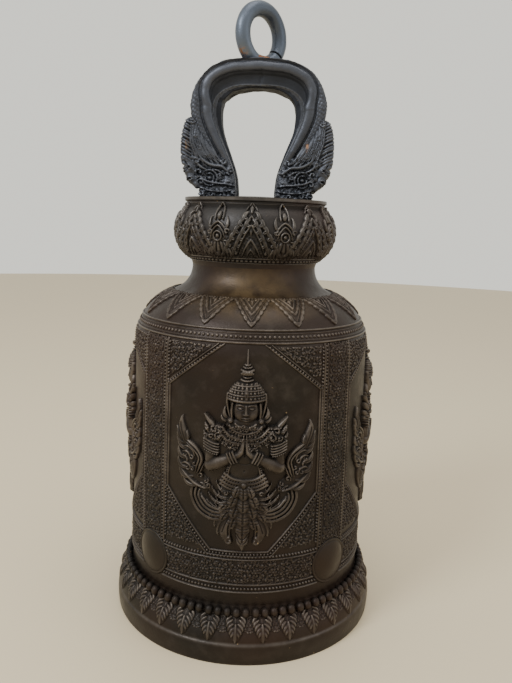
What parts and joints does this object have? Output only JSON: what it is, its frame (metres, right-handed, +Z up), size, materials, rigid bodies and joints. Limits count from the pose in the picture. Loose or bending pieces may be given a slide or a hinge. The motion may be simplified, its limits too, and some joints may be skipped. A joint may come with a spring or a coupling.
{
  "type": "temple bell",
  "caption": "Tall cast bronze temple bell with praying-figure panels, lotus petal bands, domed strike bosses, a crown collar and an arched hanger with a suspension ring.",
  "frame": {"origin": "centre of the mouth rim, at the height of the surface the bell stands on", "axes": "+Z up through the suspension ring, -Y the front panel, the hanger arch in the XZ plane"},
  "size_m": [0.27, 0.27, 0.6],
  "materials": {
    "shell_bronze": "aged dark brown patina, satin",
    "boss_bronze": "worn smooth, satin with an olive sheen",
    "ornament_bronze": "aged patina, dark in the hollows and worn lighter on raised edges",
    "crown_bronze": "aged patina, worn lighter on raised edges",
    "hanger_bronze": "blue-black patina, satin",
    "ring_bronze": "blue-black patina, satin, smooth",
    "braze_brass": "dull brass braze"
  },
  "bodies": {
    "root": {"bell_foot": "shell_bronze", "bell_neck": "shell_bronze", "bell_shoulder": "shell_bronze", "bell_waist": "shell_bronze", "crown_cap": "crown_bronze", "crown_collar": "crown_bronze", "crown_petals_main": "crown_bronze", "crown_petals_minor": "crown_bronze", "deity_back": "ornament_bronze", "deity_front": "ornament_bronze", "deity_left": "ornament_bronze", "deity_right": "ornament_bronze", "foliage_back": "ornament_bronze", "foliage_front": "ornament_bronze", "foliage_left": "ornament_bronze", "foliage_right": "ornament_bronze", "foot_bead_ring": "ornament_bronze", "foot_petals": "ornament_bronze", "hanger_arch": "hanger_bronze", "hanger_head_left": "hanger_bronze", "hanger_head_right": "hanger_bronze", "hanger_mane_left": "hanger_bronze", "hanger_mane_right": "hanger_bronze", "lower_band_back": "ornament_bronze", "lower_band_front": "ornament_bronze", "lower_band_left": "ornament_bronze", "lower_band_right": "ornament_bronze", "neck_bead_ring": "crown_bronze", "panel_frame_back": "ornament_bronze", "panel_frame_front": "ornament_bronze", "panel_frame_left": "ornament_bronze", "panel_frame_right": "ornament_bronze", "pilaster_back_corner": "ornament_bronze", "pilaster_front_corner": "ornament_bronze", "pilaster_left_corner": "ornament_bronze", "pilaster_right_corner": "ornament_bronze", "ring_braze": "braze_brass", "shoulder_moulding": "ornament_bronze", "shoulder_petals": "ornament_bronze", "strike_boss_back_corner": "boss_bronze", "strike_boss_front_corner": "boss_bronze", "strike_boss_left_corner": "boss_bronze", "strike_boss_right_corner": "boss_bronze", "suspension_ring": "ring_bronze"}
  },
  "joints": []
}
